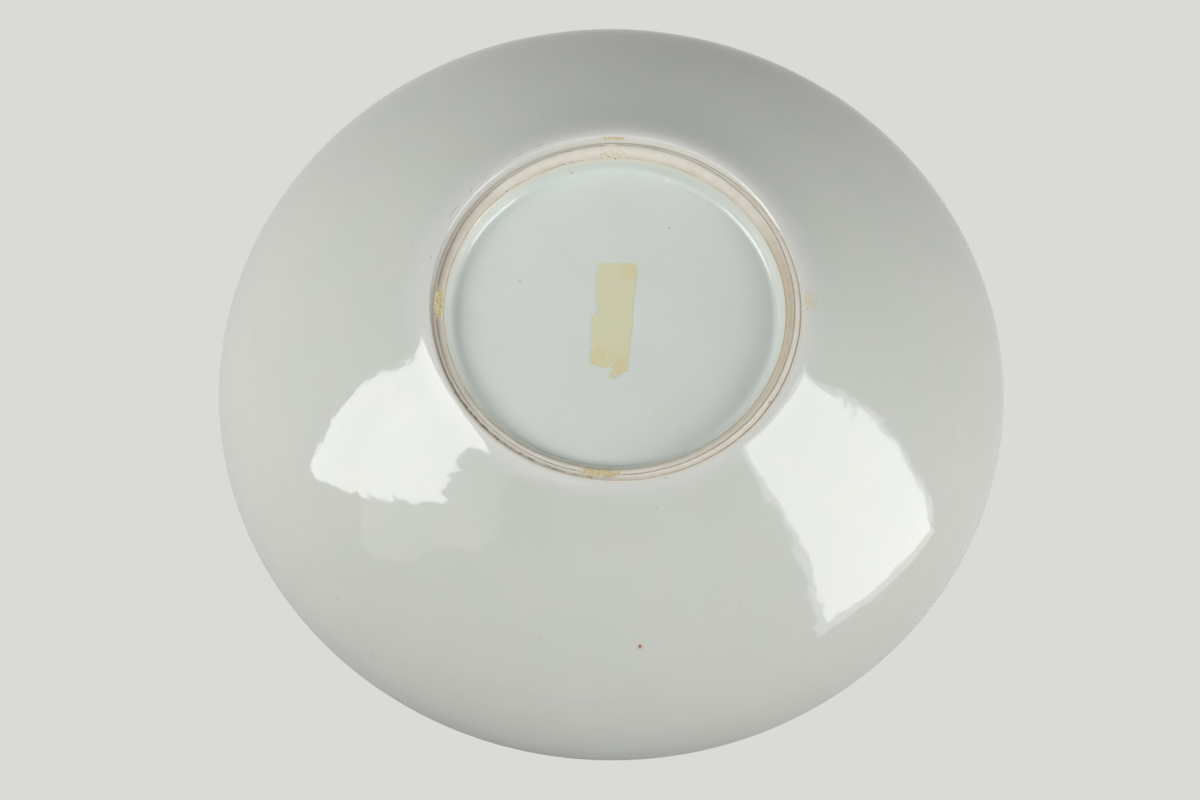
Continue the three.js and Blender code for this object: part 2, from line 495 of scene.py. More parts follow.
def outsideAt(angle):
    # the outer glaze: over the bead and up the wall to the lip's crest, and back along the clay
    gap = bowlSizes["gap"]
    last = len(outsideLine) - 1
    lipStart = lineSteps["fillet"] + lineSteps["wall"]

    def depthAt(share):
        step = share * last
        fade = held(min(step - joinStep, lipStart - step) / dentSizes["fadeSteps"])
        return fade * dentOn(outsideLine, share, angle, "outside") - bowlSizes["glaze"]

    face = shifted(outsideLine, depthAt)
    coat = shifted(outsideLine, lambda share: -gap)
    face[-1] = (outsideLine[-1][0] + gap, bowlSizes["height"])
    coat[-1] = (face[-1][0], outsideLine[-1][1] + gap)
    under = underGlazeAt(angle, footSizes["coatUnder"])
    return beadLineAt(angle, joinPoint, joinSlope) + face[joinStep + 1:] + coat[::-1] + under[::-1]


def insideAt(angle):
    # the inner glaze, from the floor's middle to the lip's crest and back
    gap = bowlSizes["gap"]

    def depthAt(share):
        fade = held(min(dentSizes["insideEnd"] - share, share) * dentSizes["insideRate"])
        return bowlSizes["glaze"] - fade * dentOn(insideLine, share, angle, "inside")

    face = shifted(insideLine, depthAt)
    coat = shifted(insideLine, lambda share: gap)
    face[0] = (0.0, insideLine[0][1] + bowlSizes["glaze"])
    coat[0] = (0.0, insideLine[0][1] + gap)
    face[-1] = (insideLine[-1][0] - gap, bowlSizes["height"])
    coat[-1] = (face[-1][0], insideLine[-1][1] + gap)
    return coat + face[::-1]


def baseAt(angle):
    # the base's glaze, from the axis to the bare clay, where it thins, and back
    line = baseLineAt(angle)
    last = len(line) - 1
    edge, rate = dentSizes["baseEdge"]

    def depthAt(share):
        fade = held(min(share, 1 - share) * dentSizes["baseRate"])
        taper = min(1.0, edge + share * last * rate)
        return bowlSizes["glaze"] * taper - fade * dentOn(line, share, angle, "base")

    face = shifted(line, depthAt)
    coat = shifted(line, lambda share: bowlSizes["gap"])
    face[-1] = (0.0, bowlSizes["baseHeight"])
    coat[-1] = (0.0, line[-1][1] - bowlSizes["gap"])
    return face[::-1] + coat


def turnedMesh(name, outlineAt, node):
    # a closed outline of (radius, height) turned round the bowl's axis, where it may change as it turns
    steps = lineSteps["turn"]
    shift = footSizes["shift"]
    fadeStart, fadeEnd = footSizes["shiftFades"]
    onAxis = 1e-6
    outlines = [outlineAt(fullTurn * step / steps) for step in range(steps)]
    vertices = []
    rows = []
    for index, (firstRadius, firstHeight) in enumerate(outlines[0]):
        if firstRadius < onAxis:
            rows.append([len(vertices)] * steps)
            vertices.append((shift * mm, 0.0, firstHeight * mm))
            continue
        rows.append(list(range(len(vertices), len(vertices) + steps)))
        for step, outline in enumerate(outlines):
            radius, height = outline[index]
            angle = fullTurn * step / steps
            aside = shift * held((fadeEnd - radius) / (fadeEnd - fadeStart))
            across, along = radius * math.cos(angle) + aside, radius * math.sin(angle)
            vertices.append((across * mm, along * mm, height * mm))
    endsOnAxis = outlines[0][0][0] < onAxis
    faces = []
    for lower, upper in zip(rows, rows[1:] if endsOnAxis else rows[1:] + rows[:1]):
        for step in range(steps):
            after = (step + 1) % steps
            face = tuple(dict.fromkeys((lower[step], lower[after], upper[after], upper[step])))
            if len(face) > 2:
                faces.append(face)
    return meshPiece(name, vertices, faces, node, sharpAngle=40)


def meshPiece(name, vertices, faces, node, sharpAngle):
    # one piece, smooth but for edges sharper than this, that stands for a node of the CAD model
    mesh = bpy.data.meshes.new(name)
    mesh.from_pydata(vertices, [], faces)
    mesh.validate()
    mesh.polygons.foreach_set("use_smooth", [True] * len(mesh.polygons))
    mesh.set_sharp_from_angle(angle=math.radians(sharpAngle))
    made = bpy.data.objects.new(name, mesh)
    bpy.context.collection.objects.link(made)
    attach(made, "root")
    if node:
        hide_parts(node)
    return made


def makeBowl():
    # four bodies: the clay, and the glaze outside, inside and on the base
    made = {
        "clay": turnedMesh("clayBody", clayAt, "clay_body"),
        "outside": turnedMesh("outsideGlaze", outsideAt, "outer_glaze"),
        "inside": turnedMesh("insideGlaze", insideAt, "inner_glaze"),
        "base": turnedMesh("baseGlaze", baseAt, "base_glaze"),
    }
    print("bowl turned")
    return made


cameraView = {
    "focalPixels": 2300.0,
    "picture": (1200.0, 800.0),
    "distance": 5.871,  # in rim radii, from the middle of the rim
    "elevation": 68.44,  # degrees between the line of sight and the rim's plane
    "aside": (0.0288, 0.0682),  # the rim's middle in the view, in rim radii
    "sensor": 36.0,
    "nearest": 0.01,  # metres
}
viewLean = math.radians(cameraView["elevation"])
viewRight = Vector((1, 0, 0))
viewUp = Vector((0, -math.sin(viewLean), -math.cos(viewLean)))
viewBack = Vector((0, math.cos(viewLean), -math.sin(viewLean)))
viewAxes = Matrix((viewRight, viewUp, viewBack)).transposed()
rimMiddle = Vector((0, 0, bowlSizes["widestHeight"] * mm))
viewAside = cameraView["aside"][0] * viewRight + cameraView["aside"][1] * viewUp
eye = rimMiddle - bowlSizes["rimRadius"] * mm * (viewAside - cameraView["distance"] * viewBack)


def makeCamera():
    # the photograph's camera, fitted to the outlines of the rim and the foot
    data = bpy.data.cameras.new("photoCamera")
    data.sensor_width = cameraView["sensor"]
    data.lens = cameraView["focalPixels"] * cameraView["sensor"] / cameraView["picture"][0]
    data.clip_start = cameraView["nearest"]
    camera = bpy.data.objects.new("photoCamera", data)
    bpy.context.collection.objects.link(camera)
    camera.matrix_world = Matrix.Translation(eye) @ viewAxes.to_4x4()
    bpy.context.scene.camera = camera
    print("camera made")


def surfaceTree(pieces):
    # all outer faces in one tree, to find where a mark sits
    vertices = []
    faces = []
    for piece in pieces:
        start = len(vertices)
        vertices += [vertex.co.copy() for vertex in piece.data.vertices]
        faces += [[start + index for index in polygon.vertices] for polygon in piece.data.polygons]
    return BVHTree.FromPolygons(vertices, faces)


def seenAt(tree, across, down):
    # the place and the facing of the surface behind a pixel of the photograph
    width, height = cameraView["picture"]
    ray = viewRight * (across - width / 2) - viewUp * (down - height / 2)
    ray = (ray / cameraView["focalPixels"] - viewBack).normalized()
    place, facing = tree.ray_cast(eye, ray)[:2]
    return place, facing if facing.dot(ray) < 0 else -facing


# How the skins of old adhesive are made, in millimetres
crustSizes = {
    "thinnest": 0.02,
    "lift": 0.004,  # of its back, off the surface
    "clear": (0.02, 0.012),  # left above what the bowl stands on, and the least that it may rise there
    "steepest": 0.3,  # the facing down that counts at least, where it leaves that room
}


def makeCrust(name, node, tree, seat, field, cell, keepAt, heightAt):
    # an uneven skin stuck to the surface, made of small cells that follow it
    middle, facing, along = seat
    along = (along - facing * along.dot(facing)).normalized()
    over = facing.cross(along)
    columns = int(field[0] / cell)
    rows = int(field[1] / cell)
    clear, least = crustSizes["clear"]
    tops = {}
    vertices = []
    faces = []

    def flatAt(column, row):
        return (column - columns / 2) * cell, (row - rows / 2) * cell

    def cornerAt(column, row):
        if (column, row) not in tops:
            u, v = flatAt(column, row)
            place, normal = tree.find_nearest(middle + (along * u + over * v) * mm)[:2]
            if normal.dot(facing) < 0:
                normal = -normal
            room = max(least, place.z / mm - clear) / max(crustSizes["steepest"], -normal.z)
            height = min(room, max(crustSizes["thinnest"], heightAt(u, v)))
            tops[(column, row)] = len(vertices)
            vertices.append(place + normal * height * mm)
            vertices.append(place + normal * crustSizes["lift"] * mm)
        return tops[(column, row)]

    kept = {(column, row) for column in range(columns) for row in range(rows)
            if keepAt(*flatAt(column + 0.5, row + 0.5))}
    for column, row in sorted(kept):
        corners = ((column, row), (column + 1, row), (column + 1, row + 1), (column, row + 1))
        ring = [cornerAt(*corner) for corner in corners]
        faces.append(ring)
        faces.append([index + 1 for index in reversed(ring)])
        for side, (columnStep, rowStep) in enumerate(((0, -1), (1, 0), (0, 1), (-1, 0))):
            if (column + columnStep, row + rowStep) not in kept:
                first, second = ring[side], ring[(side + 1) % 4]
                faces.append([second, first, first + 1, second + 1])
    return meshPiece(name, [tuple(vertex) for vertex in vertices], faces, node, sharpAngle=60)


def insideOutline(point, outline):
    # whether a flat point lies in a closed outline
    within = False
    for first, second in zip(outline, outline[1:] + outline[:1]):
        if (first[1] > point[1]) != (second[1] > point[1]):
            crossing = first[0] + (point[1] - first[1]) * (second[0] - first[0]) / (second[1] - first[1])
            if point[0] < crossing:
                within = not within
    return within


# The old tape: its outline in pixels of the photograph, the rest in millimetres
tapePlace = {
    "outline": (
        (600, 261), (623, 261), (632, 263), (637, 266), (636, 279), (633, 302), (632, 327), (630, 341),
        (628, 360), (628, 371), (623, 373), (615, 379), (608, 378), (611, 369), (602, 368), (595, 365),
        (589, 363), (591, 352), (592, 336), (592, 316), (598, 314), (597, 298), (596, 279), (598, 265),
    ),
    "thickness": 0.12,
    "field": (16, 40),  # the cells lie in this
    "cell": 0.22,
    "ragged": 0.32,  # how far its edge strays
    "tornFrom": 13.5,  # how far from its middle the torn end begins
    "tornShare": 0.36,  # the noise above which the torn end has holes
}


def makeTape(tree):
    # the tape's adhesive, with its torn end
    corners = [seenAt(tree, *pixel)[0] for pixel in tapePlace["outline"]]
    middle = sum(corners, Vector()) / len(corners)
    facing = Vector((0, 0, -1))
    over = facing.cross(viewRight)
    offsets = [(corner - middle) / mm for corner in corners]
    outline = [(offset.dot(viewRight), offset.dot(over)) for offset in offsets]

    def keepAt(u, v):
        jitter = tapePlace["ragged"] * noise.noise(Vector((u, v, 4.0)) / 1.1)
        holes = noise.noise(Vector((u, v, 9.0)) / 1.4) + 0.4 * noise.noise(Vector((u, v, 2.0)) / 0.5)
        torn = over.y * v > tapePlace["tornFrom"] and holes > tapePlace["tornShare"]
        return insideOutline((u + jitter, v - jitter), outline) and not torn

    def heightAt(u, v):
        wrinkle = noise.noise(Vector((u, v * 0.4, 1.0)) / 1.6)
        return tapePlace["thickness"] * (0.75 + 0.3 * wrinkle)

    seat = (middle, facing, viewRight)
    return makeCrust("oldTape", "tape_residue", tree, seat, tapePlace["field"], tapePlace["cell"],
                     keepAt, heightAt)


# The dabs of glue: the node each stands for, its pixel in the photograph, its length, width and
# thickness, and how faint it is. They are named as they lie in the photograph, whose top is the back,
# and the nodes in the bowl's frame, where that side is the front.
glueDabs = {
    "glueBack": ("glue_dab_front", (612, 155), 8.0, 3.0, 0.2, 0.65),
    "glueLeft": ("glue_dab_left", (438.5, 303), 9.6, 4.0, 0.36, 0.0),
    "glueFront": ("glue_dab_back", (600, 472.5), 12.8, 3.4, 0.22, 0.1),
    "glueSkirt": ("glue_dab_skirt", (613, 137.5), 7.4, 1.9, 0.2, 0.2),
    "glueWall": ("glue_dab_wall", (808.5, 300), 6.4, 2.4, 0.08, 0.5),
}
dabCrust = {
    "cell": 0.14,
    "field": (1.5, 1.6),  # the cells lie in this, as shares of the dab's length and width
    "ragged": 0.9,  # how far its edge strays
    "edge": 0.85,  # where it ends, as a share of its outline
    "patternStep": 0.37,  # between the noises of dabs that lie apart
    "lowest": 0.1,  # of the lumps, as a share of the thickness
}


def makeDab(name, tree):
    # one crumbled dab, longest along the foot
    node, pixel, length, width, thickness, faint = glueDabs[name]
    place, facing = seenAt(tree, *pixel)
    pattern = pixel[0] * dabCrust["patternStep"]

    def spreadAt(u, v):
        return (2 * u / length) ** 2 + (2 * v / width) ** 2

    def keepAt(u, v):
        stray = dabCrust["ragged"] * noise.noise(Vector((u, v, pattern)) / 0.9)
        return spreadAt(u, v) + stray < dabCrust["edge"]

    def heightAt(u, v):
        large = noise.noise(Vector((u, v, pattern)) / 0.55)
        small = noise.noise(Vector((v, u, pattern)) / 0.22)
        lumps = max(dabCrust["lowest"], 0.5 + 0.6 * large + 0.3 * small)
        return thickness * lumps * (1.05 - 0.6 * min(1.0, spreadAt(u, v)))

    field = (length * dabCrust["field"][0], width * dabCrust["field"][1])
    seat = (place, facing, Vector((0, 0, 1)).cross(place).normalized())
    return makeCrust(name, node, tree, seat, field, dabCrust["cell"], keepAt, heightAt)


def makeResidue(tree):
    # the tape's adhesive, then each dab of glue
    pieces = {"tape": makeTape(tree)}
    for name in glueDabs:
        pieces[name] = makeDab(name, tree)
    print("residue made")
    return pieces


# Burnt and dirty grains on the foot: pixel across, pixel down, size in millimetres
gritPlaces = (
    (601.3, 154.7, 0.34), (605.5, 153.6, 0.3), (607.4, 155.2, 0.42), (608.8, 156.6, 0.46),
    (610.3, 157.8, 0.4), (615.6, 158.6, 0.34), (613.4, 158.3, 0.26), (573.3, 161.8, 0.34),
    (570.1, 162.4, 0.26), (564.0, 164.4, 0.4), (506.6, 191.3, 0.42), (478.4, 194.6, 0.3),
    (450.0, 216.3, 0.26), (437.2, 317.1, 0.5), (435.0, 314.6, 0.3), (454.7, 393.2, 0.4),
    (456.6, 396.0, 0.3), (460.4, 401.2, 0.36), (482.2, 426.5, 0.44), (484.4, 428.3, 0.3),
    (496.9, 439.4, 0.42), (770.0, 401.5, 0.42), (768.6, 403.4, 0.34), (618.5, 473.8, 0.3),
    (702.0, 458.0, 0.26), (665.4, 478.0, 0.34), (807.4, 309.1, 0.3), (785.1, 265.2, 0.26),
    (792.7, 301.5, 0.24),
)
gritShape = {
    "seed": 11,
    "sides": 7,
    "levels": ((1.0, 0.02), (0.85, 0.28), (0.4, 0.42)),  # spread and height, as shares of the grain's size
    "uneven": (0.7, 1.2),
    "oval": (1.3, 0.8),
}


def makeGrit(tree):
    # low uneven grains, each turned its own way
    chooser = random.Random(gritShape["seed"])
    sides = gritShape["sides"]
    levels = gritShape["levels"]
    longer, shorter = gritShape["oval"]
    vertices = []
    faces = []
    for across, down, size in gritPlaces:
        place, facing = seenAt(tree, across, down)
        along = facing.orthogonal().normalized()
        over = facing.cross(along)
        turn = chooser.uniform(0, fullTurn)
        start = len(vertices)
        for spread, height in levels:
            for side in range(sides):
                angle = turn + fullTurn * side / sides
                reach = size * 0.5 * spread * chooser.uniform(*gritShape["uneven"])
                flat = along * math.cos(angle) * longer + over * math.sin(angle) * shorter
                corner = place + (flat * reach + facing * size * height) * mm
                vertices.append((corner.x, corner.y, max(0.0, corner.z)))
        for level in range(len(levels) - 1):
            low = start + level * sides
            for side in range(sides):
                after = (side + 1) % sides
                faces.append((low + side, low + after, low + sides + after, low + sides + side))
        top = start + (len(levels) - 1) * sides
        faces.append(tuple(top + side for side in range(sides)))
        faces.append(tuple(start + side for side in reversed(range(sides))))
    grit = meshPiece("footGrit", vertices, faces, None, sharpAngle=70)
    print("grit made")
    return grit


glazeLooks = {
    "wall": sRGB(203, 205, 198),
    "green": sRGB(193, 200, 191),
    "warm": sRGB(206, 201, 194),
    "base": sRGB(204, 211, 204),
    "pale": sRGB(207, 206, 202),  # where it is thin, over the foot's edges
    "cream": sRGB(206, 202, 188),
    "poolAndShade": sRGB(196, 205, 200),  # where it lies thick, and painted shade in the base's bend
    "stain": sRGB(164, 157, 143),
    "dirt": sRGB(126, 110, 84),
    "pit": sRGB(150, 148, 138),
    "insidePit": sRGB(140, 136, 124),
    "gloss": 0.035,
    "glossMore": 0.03,  # where it is duller
    "refraction": 1.43,
    "waves": 0.034,  # in millimetres
    "turningMarks": 0.008,
    "pitDepth": 0.01,
}

# The clouds in the glaze: how wide they are in millimetres, and how strongly each colours it. It is
# greener from the first radius in to the second.
glazeClouds = {
    "outside": {"green": 26.0, "thick": (118.0, 66.0), "thickTint": 0.75, "greenTint": 0.9,
                "warm": 15.0, "warmTint": 0.55, "streak": 3.2, "streakTint": 0.35},
    "inside": {"green": 24.0, "thick": (110.0, 50.0), "thickTint": 0.7, "greenTint": 0.8,
               "warm": 14.0, "warmTint": 0.5, "streak": 3.0, "streakTint": 0.3},
}

# Marks in the glaze: places in pixels of the photograph, sizes in millimetres, and ways round the foot
# in degrees, each with half its width
glazeMarks = {
    "ironSpot": (640, 646.5),
    "iron": sRGB(122, 74, 44),
    "ironHalo": sRGB(205, 168, 126),
    "specks": ((372, 653, 0.35), (652.5, 644.5, 0.25), (286, 207, 0.3), (760, 244, 0.25), (412, 246, 0.3)),
    "speck": sRGB(118, 112, 100),
    "baseSpecks": ((669, 228, 0.5), (572, 173, 0.55), (520, 281, 0.45)),
    "baseSpeck": sRGB(128, 128, 124),
    "flawPlace": (668.0, 180.5),
    "flaw": sRGB(232, 226, 200),
    "dirtySide": (142.0, 80.0),
    "stainedSide": (142.0, 40.0),
    "dashes": ((194, 1.2), (211.5, 2.4), (220, 1.1), (226.5, 1.2), (239, 1.5), (245.5, 2.6), (252, 1.3)),
    "dashRing": (56.3, 0.3),
    "smearSide": (0.0, 3.4),
    "smearRing": (59.2, 1.6),
    "smear": sRGB(190, 182, 138),
}


def cloudedGlaze(finish, place, clouds):
    # greener where it lies thick, with warm clouds, and streaks along the potter's turning
    looks = glazeLooks
    green = (finish.noise(clouds["green"], 3.0, 0.55) - 0.5) * clouds["greenTint"]
    thick = beyond(place[0], *clouds["thick"]) * clouds["thickTint"]
    colour = finish.mix(thick + green, looks["wall"], looks["green"])
    warm = beyond(finish.noise(clouds["warm"], 3.0, 0.6), 0.5, 0.72)
    colour = finish.mix(warm * clouds["warmTint"], colour, looks["warm"])
    streak = beyond(finish.turning(place, clouds["streak"], 0.8), 0.52, 0.8)
    return finish.mix(streak * clouds["streakTint"], colour, looks["green"])


def glazeWaves(finish, place):
    # slow waves left by dipping and drying, and the potter's turning under them
    slow = finish.noise(8.0, 1.5, 0.45) - 0.5
    quick = finish.noise(3.8, 1.0, 0.5) - 0.5
    turned = finish.turning(place, 2.6, 1.3) - 0.5
    waves = slow * (glazeLooks["waves"] * 2.2) + quick * (glazeLooks["waves"] * 0.8)
    return waves + turned * glazeLooks["turningMarks"]


def glazeSurface(finish, colour, waves):
    # glossy, and duller in clouds
    gloss = glazeLooks["gloss"] + finish.noise(6.0, 3.0, 0.6) * glazeLooks["glossMore"]
    return finish.surface(colour, gloss, waves, glazeLooks["refraction"])


def speckled(finish, tree, colour, specks, dark):
    # small dark specks with soft edges
    for across, down, size in specks:
        near = (1 - finish.away(seenAt(tree, across, down)[0]) / size).clamped()
        colour = finish.mix((near * 1.6).clamped() * 0.45, colour, dark)
    return colour


def wipedEdge(finish, angle, colour):
    # the glaze's wiped edge: cream where it is thin, dirty along its line and stained on one side
    looks = glazeLooks
    fromLine = finish.radiusFrom(footSizes["lineMiddle"]) - footSizes["lineRadius"]
    worn = nearRing(fromLine, 0.5, 1.0) * (0.5 + finish.noise(2.2, 3.0) * 0.7)
    colour = finish.mix(worn.clamped(), colour, looks["cream"])
    dirty = nearAngle(angle, *glazeMarks["dirtySide"])
    colour = finish.mix((1 - beyond(fromLine, 0.05, 0.5)) * (0.08 + dirty * 0.35), colour, looks["dirt"])
    stained = nearRing(fromLine, 0.5, 0.95) * nearAngle(angle, *glazeMarks["stainedSide"])
    return finish.mix(stained * (0.5 + finish.noise(1.8, 3.0) * 0.5), colour, looks["stain"])


def footMarks(finish, radius, angle, colour):
    # dashes of dirt beside the foot, and a smear on the wall
    for side in glazeMarks["dashes"]:
        dash = nearRing(radius, *glazeMarks["dashRing"]) * nearAngle(angle, *side)
        dash = dash * beyond(finish.noise(0.8, 2.0), 0.36, 0.5)
        colour = finish.mix(dash * 0.6, colour, glazeLooks["dirt"])
    smear = nearAngle(angle, *glazeMarks["smearSide"]) * nearRing(radius, *glazeMarks["smearRing"])
    smear = smear * beyond(finish.noise(1.6, 3.0), 0.4, 0.62)
    return finish.mix(smear * 0.6, colour, glazeMarks["smear"])


def ironSpot(finish, tree, colour):
    # a dark speck of iron that bled into the glaze
    spot = finish.away(seenAt(tree, *glazeMarks["ironSpot"])[0]) + (finish.noise(0.7, 2.0) - 0.5) * 0.7
    colour = finish.mix((1 - beyond(spot, 0.35, 1.35)) * 0.55, colour, glazeMarks["ironHalo"])
    return finish.mix(1 - beyond(spot, 0.18, 0.62), colour, glazeMarks["iron"])


def outsideFinish(tree):
    # clouded glaze, whiter over the foot's edge, with the marks of age and use
    finish = Finish("outsideGlaze")
    place = finish.round((footSizes["shift"], 0.0))
    radius, angle = place[:2]
    colour = cloudedGlaze(finish, place, glazeClouds["outside"])
    colour = finish.mix((1 - beyond(radius, 56.8, 63.0)) * 0.8, colour, glazeLooks["pale"])
    colour = wipedEdge(finish, angle, colour)
    colour = footMarks(finish, radius, angle, colour)
    colour = ironSpot(finish, tree, colour)
    colour = speckled(finish, tree, colour, glazeMarks["specks"], glazeMarks["speck"])
    pits = beyond(finish.noise(1.1, 0.0), 0.84, 0.9)
    colour = finish.mix(pits * 0.35, colour, glazeLooks["pit"])
    return glazeSurface(finish, colour, glazeWaves(finish, place) - pits * glazeLooks["pitDepth"])


def insideFinish():
    # the same glaze without marks, whiter at the lip
    finish = Finish("insideGlaze")
    place = finish.round()
    colour = cloudedGlaze(finish, place, glazeClouds["inside"])
    colour = finish.mix(beyond(place[0], 121.6, 123.0) * 0.6, colour, glazeLooks["pale"])
    pits = beyond(finish.noise(1.1, 0.0), 0.83, 0.9)
    colour = finish.mix(pits * 0.4, colour, glazeLooks["insidePit"])
    return glazeSurface(finish, colour, glazeWaves(finish, place) - pits * glazeLooks["pitDepth"])


def pastInnerEdge(finish):
    # how far out the surface lies from where the bare clay begins
    foot = footSizes
    radius, angle = finish.round(foot["innerMiddle"])[:2]
    return radius - foot["innerRadius"] - (angle * 2).cosine() * foot["innerOval"]


def baseFinish(tree):
    # the base is greener, with thick glaze and painted shade in its bend and a thin pale line at its edge
    finish = Finish("baseGlaze")
    looks = glazeLooks
    place = finish.round((footSizes["shift"], 0.0))
    fromEdge = 0 - pastInnerEdge(finish)
    cloud = finish.noise(18.0, 3.0, 0.55)
    colour = finish.mix(((cloud - 0.4) * 1.2).clamped() * 0.5, looks["base"], looks["green"])
    colour = finish.mix(beyond(finish.noise(11.0, 3.0, 0.6), 0.56, 0.76) * 0.4, colour, looks["warm"])
    # thick glaze and painted shade: darker and bluer in the bend, about 3 mm in from the bare clay
    colour = finish.mix(nearRing(fromEdge, 3.0, 1.8) * 0.4, colour, looks["poolAndShade"])
    colour = finish.mix((1 - beyond(fromEdge, 0.4, 1.1)) * 0.7, colour, looks["cream"])
    colour = speckled(finish, tree, colour, glazeMarks["baseSpecks"], glazeMarks["baseSpeck"])
    flaw = (1 - finish.away(seenAt(tree, *glazeMarks["flawPlace"])[0])).clamped()
    flaw = flaw * beyond(finish.noise(0.7, 2.0), 0.42, 0.6)
    colour = finish.mix(flaw * 0.9, colour, glazeMarks["flaw"])
    return glazeSurface(finish, colour, glazeWaves(finish, place) * 0.5)


clayLooks = {
    "light": sRGB(213, 209, 199),
    "sandy": sRGB(203, 193, 174),
    "tan": sRGB(194, 186, 168),
    "brown": sRGB(172, 156, 130),
    "burnt": sRGB(150, 122, 84),
    "grey": sRGB(162, 155, 142),
    "black": sRGB(52, 44, 34),
}

# Where each stain on the clay, and each patch of painted shade, lies round the foot, with half its width, in
# degrees
claySides = {
    "tan": (18.0, 60.0),
    "brown": (-3.0, 28.0),
    # painted shade on the left of the bare clay
    "paintedShade": (182.0, 46.0),
    "wideGroove": (180.0, 60.0),
    # dust, and painted shade, in the groove
    "dustAndShade": (172.0, 92.0),
    "black": (129.0, 42.0),
}


def stainedAndShadedClay(finish, angle, fromEdge, colour):
    # brown and tan stains on the right, burnt along the base's glaze, and painted shade, a dull grey, on the
    # left
    looks = clayLooks
    tan = nearAngle(angle, *claySides["tan"]) * (1 - beyond(fromEdge, 1.8, 3.0) * 0.8)
    colour = finish.mix((tan * (0.5 + finish.noise(3.0, 3.0) * 0.9)).clamped(), colour, looks["tan"])
    brown = nearAngle(angle, *claySides["brown"]) * (1 - beyond(fromEdge, 1.2, 2.5))
    brown = (brown * (0.35 + finish.noise(2.4, 3.0) * 0.8)).clamped()
    colour = finish.mix(brown * 0.7, colour, looks["brown"])
    edge = (1 - beyond(fromEdge, 0.3, 1.1)) * (0.1 + finish.noise(4.2, 3.0) * 0.9)
    colour = finish.mix(edge.clamped() * 0.3, colour, looks["brown"])
    burnt = (1 - beyond(fromEdge, 0.1, 0.3)) * beyond(finish.noise(6.0, 3.0), 0.3, 0.6)
    colour = finish.mix(burnt * 0.4, colour, looks["burnt"])
    # painted shade: the clay greyed on the left, out from the inner edge
    paintedShade = nearAngle(angle, *claySides["paintedShade"]) * beyond(fromEdge, 0.2, 1.6)
    return finish.mix((paintedShade * (0.6 + finish.noise(2.6, 3.0) * 0.5)).clamped(), colour, looks["grey"])


def dirtAndShadeInGroove(finish, angle, colour):
    # dust and painted shade in the groove, wider on the left, and black dirt at the glaze's edge
    looks = clayLooks
    toLine = footSizes["lineRadius"] - finish.radiusFrom(footSizes["lineMiddle"])
    groove = nearRing(toLine, 0.1, 1.0 + nearAngle(angle, *claySides["wideGroove"]) * 0.9)
    # dust and painted shade: the groove greyed, most on the left
    dustAndShade = 0.04 + nearAngle(angle, *claySides["dustAndShade"]) * 0.8 + (finish.noise(3.0, 3.0) - 0.5) * 0.3
    colour = finish.mix((groove * dustAndShade).clamped(), colour, looks["grey"])
    black = 1 - beyond((toLine - 0.14).size(), 0.1, 0.3)
    black = black * nearAngle(angle, *claySides["black"]) * beyond(finish.noise(1.7, 3.0, 0.6), 0.46, 0.62)
    return finish.mix(black * 0.75, colour, looks["black"])


def clayFinish():
    # bare fired clay: chalky and pinkish white, brown where it met the glaze, dirty and with painted shade
    # in the groove, and with painted shade on the left
    finish = Finish("bareClay")
    looks = clayLooks
    place = finish.round((footSizes["shift"], 0.0))
    angle = place[1]
    blotch = finish.noise(5.0, 4.0, 0.6)
    colour = finish.mix(beyond(blotch, 0.4, 0.68) * 0.55, looks["light"], looks["sandy"])
    colour = stainedAndShadedClay(finish, angle, pastInnerEdge(finish), colour)
    colour = dirtAndShadeInGroove(finish, angle, colour)
    fleck = beyond(finish.noise(0.62, 1.0), 0.74, 0.8) * beyond(finish.noise(6.0, 2.0), 0.45, 0.6)
    colour = finish.mix(fleck * 0.6, colour, looks["burnt"])
    grain = finish.noise(0.35, 3.0, 0.65) * 0.05 + finish.noise(1.3, 2.0) * 0.06
    grain = grain + finish.turning(place, 0.5, 3.0) * 0.05
    return finish.surface(colour, 0.78 + finish.noise(2.0, 2.0) * 0.16, grain)


# The old adhesives. The tape's gathered in places: pixel in the photograph, reach in millimetres and
# strength; its stain begins beyond the first reach from a pixel, and is full at the second.
residueLooks = {
    "tape": sRGB(203, 202, 169),
    "tapePale": sRGB(203, 201, 178),
    "tapeDeep": sRGB(204, 194, 152),
    "tapeStain": sRGB(197, 184, 138),
    "gathered": (((630, 270), 4.2, 0.85), ((600, 356), 5.0, 0.8), ((621, 366), 4.4, 0.9)),
    "stainedFrom": (612, 300),
    "stainedReach": (12.5, 20.0),
    "glue": sRGB(202, 193, 152),
    "glueDeep": sRGB(178, 162, 114),
    "glueDark": sRGB(112, 92, 58),
    "grit": sRGB(46, 36, 26),
    "gritBrown": sRGB(96, 70, 42),
}


def tapeFinish(tree):
    # the tape's old adhesive: pale yellow, deeper where it gathered at the corners and the torn end
    finish = Finish("oldAdhesive")
    looks = residueLooks
    pale = beyond(finish.noise(4.0, 3.0, 0.6), 0.42, 0.68)
    colour = finish.mix(pale * 0.5, looks["tape"], looks["tapePale"])
    for pixel, reach, strength in looks["gathered"]:
        near = (1 - finish.away(seenAt(tree, *pixel)[0]) / reach).clamped()
        mottle = 0.4 + finish.noise(1.4, 3.0, 0.6)
        colour = finish.mix((near * mottle * 1.3).clamped() * strength, colour, looks["tapeDeep"])
    low = beyond(finish.away(seenAt(tree, *looks["stainedFrom"])[0]), *looks["stainedReach"])
    low = low * beyond(finish.noise(1.0, 3.0, 0.6), 0.5, 0.66)
    colour = finish.mix(low * 0.7, colour, looks["tapeStain"])
    grain = finish.noise(0.5, 3.0, 0.6) * 0.012 + finish.noise(2.6, 2.0) * 0.03
    return finish.surface(colour, 0.36 + finish.noise(1.5, 3.0) * 0.25, grain)


